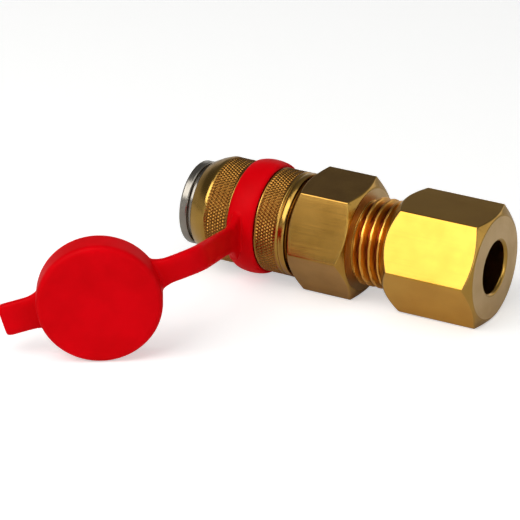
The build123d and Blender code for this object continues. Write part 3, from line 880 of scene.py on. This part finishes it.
@dataclass
class DustCap:
    """The red moulding: ring, strap with flared root, round cap and pull tab, in one piece."""

    ring: Pair = (9.1, 13.7)
    ring_bore: float = 8.05
    ring_radius: float = 9.05
    ring_round: float = 0.6
    ring_crown: float = 0.4
    face_centre: tuple[float, float, float] = (5.35, -40.35, 0.25)
    cap_turn: float = 30.0
    cap_radius: float = 9.45
    cap_depth: float = 5.0
    cap_wall: float = 0.75
    cap_face: float = 1.1
    cap_round: float = 1.0
    strap_angle: float = 20.2
    strap_width: float = 4.0
    strap_thickness: float = 1.7
    strap_bend: float = 5.5
    strap_run: float = 5.6
    strap_flare: float = 1.6
    root_place: float = 1.85
    root_height: float = 7.8
    root_flare: float = 4.6
    tab_angle: float = 16.2
    tab_length: float = 5.75
    tab_width: float = 5.2
    voxel: float = 0.18
    easing: int = 8
    bury: float = 0.7
    reach: float = 2.6
    tab_reach: float = 2.4
    tab_flare: float = 1.3
    tab_round: float = 0.8
    tab_narrowing: float = 1.2
    pole_radius: float = 0.5
    dome: float = 0.1
    columns: int = 180

    def normal(self) -> Grid:
        """Gives the outward normal of the cap's face."""
        turn = math.radians(self.cap_turn)
        return np.array([math.sin(turn), -math.cos(turn), 0.0])

    def heading(self, angle: float) -> Grid:
        """Gives the direction in the rim's plane, that many degrees above the level, towards +X."""
        turn, rise = math.radians(self.cap_turn), math.radians(angle)
        side = np.array([math.cos(turn), math.sin(turn), 0.0])
        return side * math.cos(rise) + np.array([0, 0, math.sin(rise)])

    def rim_centre(self) -> Grid:
        """Gives the middle of the rim's plane, half the strap's thickness up."""
        return np.array(self.face_centre) - self.normal() * (self.cap_depth - self.strap_thickness / 2)

    def ring_skin(self) -> Skin:
        """Gives the ring on the sleeve: a crowned band with round edges, turned about the axis."""
        angles = np.linspace(0, TURN, self.columns, endpoint=False)
        front, rear = self.ring
        bore, radius = self.ring_bore, self.ring_radius
        half = [(1.2, bore), (0.0, bore), (0.0, radius - self.ring_crown), (1.0, radius - 0.1)]
        middle = [((front + rear) / 2, radius + 0.02)]
        corners = [(front + x, r) for x, r in half] + middle + [(rear - x, r) for x, r in half[::-1]]
        stations = rounded(outline(corners, angles), self.ring_round, 6)
        return Skin(about_axis(stations, angles))

    def cap_skin(self) -> Skin:
        """Gives the round cap: its outline of depth d and radius r turned about the normal n.

        A point is face centre - d n + r (cos a side + sin a up). The face is domed by a
        hundredth of its radius, and its outer edge has the large round of a soft moulding.

        Returns:
            The cap, with a pole on the face and one inside.
        """
        angles = np.linspace(0, TURN, self.columns, endpoint=False)
        inner = self.cap_radius - self.cap_wall
        corners = [
            (0.0, self.pole_radius),
            (0.0, self.cap_radius * 0.8),
            (self.dome, self.cap_radius),
            (self.cap_depth, self.cap_radius),
            (self.cap_depth, inner),
            (self.cap_face, inner),
            (self.cap_face, self.pole_radius),
        ]
        stations = rounded(outline(corners, angles), self.cap_round, 8)
        depth, r = stations[..., :1], stations[..., 1:]
        around = np.cos(angles)[:, None] * self.heading(0) + np.sin(angles)[:, None] * self.heading(90)
        return Skin(np.array(self.face_centre) - depth * self.normal() + r * around, poles=True)

    def bar_skin(self, path: Grid, widths: Grid, across: Grid, thickness: float) -> Skin:
        """Sweeps a flat bar with rounded edges along a path.

        At each point of the path the section is the superellipse |w|^4 + |t|^4 = 1, with w
        across and t through the bar.

        Args:
            path: points by 3.
            widths: the bar's width at each point.
            across: the unit vector of the width at each point.
            thickness: the bar's thickness.

        Returns:
            The bar, with a pole at each end.
        """
        along = np.gradient(path, axis=0)
        through = np.cross(along, across)
        through /= np.linalg.norm(through, axis=1, keepdims=True)
        across = np.cross(through, along)
        across /= np.linalg.norm(across, axis=1, keepdims=True)
        turn = np.linspace(0, TURN, 48, endpoint=False)
        size = (np.cos(turn) ** 4 + np.sin(turn) ** 4) ** -0.25
        w = (size * np.cos(turn))[None, :, None] * widths[:, None, None] / 2
        t = (size * np.sin(turn))[None, :, None] * thickness / 2
        return Skin(path[:, None] + w * across[:, None] + t * through[:, None], poles=True)

    def strap_skin(self) -> Skin:
        """Gives the strap: out of the cap's rim, round its bend and into the ring's flared root.

        The path is a straight run, an arc of the bend's radius and a second run. Near either
        end the width grows by the flare times (1 - distance / reach)^2.

        Returns:
            The strap.
        """
        heading = self.heading(self.strap_angle)
        rim = self.rim_centre()
        start = rim + heading * (self.cap_radius - self.bury)
        corner = rim + heading * (self.cap_radius + self.strap_run)
        end = np.array([self.ring[0] + self.root_place, -self.ring_radius + 0.5, 0.0])
        home = (end - corner) / np.linalg.norm(end - corner)
        turn = math.acos(float(heading @ home))
        leg = self.strap_bend * math.tan(turn / 2)
        arc_start, arc_end = corner - heading * leg, corner + home * leg
        t = np.linspace(0, 1, 19)[1:-1, None]
        pull = 2 * math.cos(turn / 2) * t * (1 - t)
        arc = ((1 - t) ** 2 * arc_start + pull * corner + t**2 * arc_end) / ((1 - t) ** 2 + pull + t**2)
        first = start + np.linspace(0, 1, 8)[:, None] * (arc_start - start)
        last = arc_end + np.linspace(0, 1, 40)[:, None] * (end - arc_end)
        path = np.concatenate([first, arc, last])
        length = np.concatenate([[0], np.cumsum(np.linalg.norm(np.diff(path, axis=0), axis=1))])
        to_ring = length[-1] - length
        flare = np.clip(1 - length / self.reach, 0, 1) ** 2
        root = np.clip(1 - (to_ring - 0.4) / self.root_flare, 0, 1) ** 2
        widths = self.strap_width + self.strap_flare * flare + (self.root_height - self.strap_width) * root
        share = (length / length[-1])[:, None]
        share = share * share * (3 - 2 * share)
        across = np.cross(self.normal(), heading) * (1 - share) + np.array([0, 0, 1.0]) * share
        return self.bar_skin(path, widths, across, self.strap_thickness)

    def tab_skin(self) -> Skin:
        """Gives the pull tab: a flat bar opposite the strap, wider at its root, cut square.

        Returns:
            The tab.
        """
        heading = self.heading(self.tab_angle)
        away = np.linspace(self.cap_radius - self.bury, self.cap_radius + self.tab_length, 40)
        path = self.rim_centre() - heading * away[:, None]
        root = np.clip(1 - (away - away[0]) / self.tab_reach, 0, 1) ** 2
        past = np.clip((away - away[-1] + self.tab_round) / self.tab_round, 0, 1)
        end = np.sqrt(1 - past**2 * 0.75)
        widths = (self.tab_width - self.tab_narrowing + self.tab_narrowing * end) + self.tab_flare * root
        across = np.broadcast_to(np.cross(self.normal(), heading), path.shape)
        return self.bar_skin(path, widths, across, self.strap_thickness - 0.1)

    def build(self) -> Object:
        """Joins the four surfaces into one skin of small quads, smooths it and lets it ride.

        Returns:
            The dust cap.
        """
        skins = [self.ring_skin(), self.cap_skin(), self.strap_skin(), self.tab_skin()]
        thing = mesh_object("dust_cap_moulding", skins)
        joined = thing.modifiers.new("one skin", "REMESH")
        joined.mode = "VOXEL"
        joined.voxel_size = self.voxel * MM
        joined.use_smooth_shade = True
        eased = thing.modifiers.new("soft edges", "SMOOTH")
        eased.factor = 0.5
        eased.iterations = self.easing
        graph = bpy.context.evaluated_depsgraph_get()
        made = bpy.data.meshes.new_from_object(thing.evaluated_get(graph))
        thing.modifiers.clear()
        thing.data = made
        made.shade_smooth()
        made.materials.clear()
        made.materials.append(RED_PVC.make())
        return settle(thing, "dust_cap", "cap")


@dataclass
class Spring:
    """A compression spring of round wire whose end coils lie close to its seats.

    keep is the share of its length meant to be left at the joint's limit; it is not used. A spring with a
    lengthened_by body keeps its place baked into its mesh, and any other rides on the body.
    """

    node: str
    seats: Pair
    radius: float
    wire: float
    turns: float
    joint: str = ""
    keep: float = 1.0
    lengthened_by: str = ""
    steps_per_turn: int = 40
    sides: int = 12
    closing: float = 0.7

    def skin(self) -> Skin:
        """Gives the wire: a circle of radius w carried along the coil.

        With t from 0 to 1, the coil's angle is a = 2 pi turns t and its X goes from seat to
        seat as t - c sin(2 pi t) / 2 pi, which closes the end coils up. A point of the circle
        is (x + w sin b, (R + w cos b) cos a, (R + w cos b) sin a).

        Returns:
            The wire, with a pole at each end.
        """
        t = np.linspace(0, 1, int(self.turns * self.steps_per_turn))[:, None]
        b = np.linspace(0, TURN, self.sides, endpoint=False)[None, :]
        eased = t - self.closing * np.sin(TURN * t) / TURN
        front, rear = self.seats
        x = front + self.wire + (rear - front - 2 * self.wire) * eased + self.wire * np.sin(b)
        r = self.radius + self.wire * np.cos(b) + 0 * t
        a = TURN * self.turns * t
        return Skin(np.stack([x, r * np.cos(a), r * np.sin(a)], axis=-1), poles=True)

    def build(self) -> Object:
        """Builds the spring: it rides on the body, or, with a lengthened_by body, stays in place with its
        placement baked into the mesh.

        Returns:
            The spring.
        """
        thing = mesh_object(f"{self.node}_wire", [self.skin()])
        thing.data.materials.append(SPRING_WIRE.make())
        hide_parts(self.node)
        if self.lengthened_by:
            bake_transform(thing)
        else:
            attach(thing, "body")
            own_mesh(thing)
        return thing


SPRINGS = (
    Spring("sleeve_spring", (9.5, 16.58), 6.65, 0.4, 3.5, lengthened_by="sleeve"),
    Spring("retainer_spring", (7.82, 11.18), 4.45, 0.15, 2.5, joint="retainer_slide", keep=0.27),
    Spring("valve_spring", (15.66, 22.38), 2.65, 0.3, 4.5, joint="valve_slide", keep=0.55),
)


@dataclass
class InnerPieces:
    """The CAD nodes that keep their own shape and get a finish."""

    finishes: dict[Metal | Moulding, list[str]] = field(
        default_factory=lambda: {
            NICKEL: ["barrel"],
            INNER_BRASS: ["ball_retainer", "seal_carrier", "valve_guide", "valve_poppet"],
            RING_BRASS: ["cutting_ring"],
            SEAL_RUBBER: ["plug_seal", "body_seal", "valve_seal"],
            BALL_STEEL: [f"locking_ball_{number}" for number in range(1, 7)],
        }
    )

    def dress(self) -> list[str]:
        """Puts each finish on its nodes.

        Returns:
            The names of the nodes that were dressed.
        """
        for finish, nodes in self.finishes.items():
            material = finish.make()
            for node in nodes:
                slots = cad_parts[node].data.materials
                slots.clear()
                slots.append(material)
        return sorted(node for nodes in self.finishes.values() for node in nodes)


def direction(azimuth: float, elevation: float) -> Vector:
    """Gives the way (sin a cos e, -cos a cos e, sin e) to a place seen at these degrees."""
    a, e = math.radians(azimuth), math.radians(elevation)
    return Vector((math.sin(a) * math.cos(e), -math.cos(a) * math.cos(e), math.sin(e)))


def hung(name: str, data: ID, spot: Vector, turn: Quaternion) -> Object:
    """Puts a lamp or camera at a spot in metres, turned that way."""
    thing = bpy.data.objects.new(name, data)
    thing.location = spot
    thing.rotation_mode = "QUATERNION"
    thing.rotation_quaternion = turn
    bpy.context.scene.collection.objects.link(thing)
    return thing


@dataclass
class Softbox:
    """A square soft lamp that faces the coupler."""

    name: str
    azimuth: float
    elevation: float
    size: float
    distance: float
    radiance: float
    aim: tuple[float, float, float] = (24.0, -12.0, 0.0)

    def hang(self) -> None:
        """Hangs the lamp: its power is radiance times pi times its area."""
        away = direction(self.azimuth, self.elevation)
        data = bpy.data.lights.new(self.name, "AREA")
        data.shape = "SQUARE"
        data.size = self.size * MM
        data.energy = self.radiance * math.pi * (self.size * MM) ** 2
        spot = Vector(self.aim) * MM + away * self.distance * MM
        hung(self.name, data, spot, away.to_track_quat("Z", "Y")).visible_camera = False


@dataclass
class Studio:
    """The pale floor, the soft lamps, the room and the camera of the photograph."""

    azimuth: float = 28.443
    elevation: float = 25.297
    distance: float = 533.5
    lens: float = 233.8
    sensor: float = 36.0
    nose_face: float = -0.4
    look_right: float = 9.591
    look_up: float = -9.283
    floor_reach: float = 4000.0
    floor_touch: Pair = (13.2, -9.08)
    floor_slope: float = 0.0146
    floor_colour: str = "#ECECEA"
    floor_glow: float = 0.5
    wall: tuple[float, ...] = (0.16, 0.4, 1.0, 0.2)
    nose_side: tuple[float, ...] = (-0.9, 0.1, 0.4, 1.0)
    room_share: float = 0.68
    lamps: tuple[Softbox, ...] = (
        Softbox("front_softbox", -28, 47, 300, 400, 3.1),
        Softbox("top_softbox", 30, 80, 400, 550, 1.2),
        Softbox("right_softbox", 62, 24, 260, 480, 1.3),
    )

    def camera(self) -> None:
        """Places the camera as in the photograph, looking at a point beside the nose's face."""
        right = direction(self.azimuth + 90, 0)
        back = direction(self.azimuth, self.elevation)
        look = Vector((self.nose_face, 0, 0)) + right * self.look_right + back.cross(right) * self.look_up
        data = bpy.data.cameras.new("camera")
        data.lens = self.lens
        data.sensor_width = self.sensor
        data.clip_start, data.clip_end = 0.05, 20.0
        spot = (look + back * self.distance) * MM
        bpy.context.scene.camera = hung("camera", data, spot, (-back).to_track_quat("-Z", "Y"))

    def floor(self) -> None:
        """Lays the floor plane z = z0 + slope (x - x0), on which the coupler rests.

        The camera sees it a little brighter than the lamps make it, so that it reads as white
        paper and still keeps the shadow.
        """
        x0, z0 = self.floor_touch
        sides = np.array([[-1, -1], [1, -1], [1, 1], [-1, 1]]) * self.floor_reach
        heights = z0 + (sides[:, 0] - x0) * self.floor_slope
        mesh = bpy.data.meshes.new("floor")
        mesh.from_pydata((np.column_stack([sides, heights]) * MM).tolist(), [], [(0, 1, 2, 3)])
        thing = bpy.data.objects.new("floor", mesh)
        bpy.context.scene.collection.objects.link(thing)
        # Matt white paper shows soft shadows and no shine
        material, tree, shader = new_material("matt white paper")
        shader.inputs["Base Color"].default_value = linear(self.floor_colour)
        shader.inputs["Roughness"].default_value = 0.9
        shader.inputs["Emission Color"].default_value = (1, 1, 1, 1)
        seen = add(tree, "LightPath").outputs["Is Camera Ray"]
        glow = add(tree, "Math", {"operation": "MULTIPLY", 1: self.floor_glow}, in0=seen)
        tree.links.new(glow.outputs[0], shader.inputs["Emission Strength"])
        mesh.materials.append(material)

    def room(self) -> None:
        """Lights the room: white at the horizon, falling to a grey ceiling and a grey side.

        The wall and the nose's side each fade between two places of the direction's Z or X,
        from one level of light to another.
        The camera sees white wherever it looks past the floor. Only mirrored rays see the room
        in full: matt surfaces take a share of it, so that the softboxes shape them.
        """
        world = bpy.data.worlds.new("studio")
        world.use_nodes = True
        tree = world.node_tree
        tree.nodes.clear()
        way = add(tree, "SeparateXYZ", in0=add(tree, "TexCoord").outputs["Generated"])
        ends = ("From Min", "From Max", "To Min", "To Max")
        fall, side = (
            add(tree, "MapRange", {"interpolation_type": "SMOOTHSTEP", **dict(zip(ends, fade))}, Value=axis)
            for fade, axis in ((self.wall, way.outputs[2]), (self.nose_side, way.outputs[0]))
        )
        shape = add(tree, "Math", {"operation": "MULTIPLY"}, in0=fall.outputs[0], in1=side.outputs[0])
        path = add(tree, "LightPath")
        share = add(tree, "MapRange", {"To Min": self.room_share}, Value=path.outputs["Is Glossy Ray"])
        room = add(tree, "Math", {"operation": "MULTIPLY"}, in0=shape.outputs[0], in1=share.outputs[0])
        seen = path.outputs["Is Camera Ray"]
        level = add(tree, "Math", {"operation": "MAXIMUM"}, in0=room.outputs[0], in1=seen)
        glow = add(tree, "Background", {"Color": (1, 1, 1, 1)}, Strength=level.outputs[0])
        add(tree, "OutputWorld", Surface=glow.outputs[0])
        bpy.context.scene.world = world

    def build(self) -> None:
        """Builds the whole studio."""
        self.camera()
        self.floor()
        self.room()
        for lamp in self.lamps:
            lamp.hang()
        bpy.context.scene.view_settings.view_transform = "Standard"


def main() -> None:
    """Builds the studio and every visible piece, in order."""
    logging.basicConfig(level=logging.INFO, format="%(name)s: %(message)s")
    Studio().build()
    LOG.info("studio ready")
    for maker in (Sleeve(), Body(), Nut(), DustCap(), *SPRINGS):
        thing = maker.build()
        LOG.info("%s has %d faces", thing.name, len(thing.data.polygons))
    LOG.info("dressed %s", ", ".join(InnerPieces().dress()))


if __name__ == "__main__":
    main()
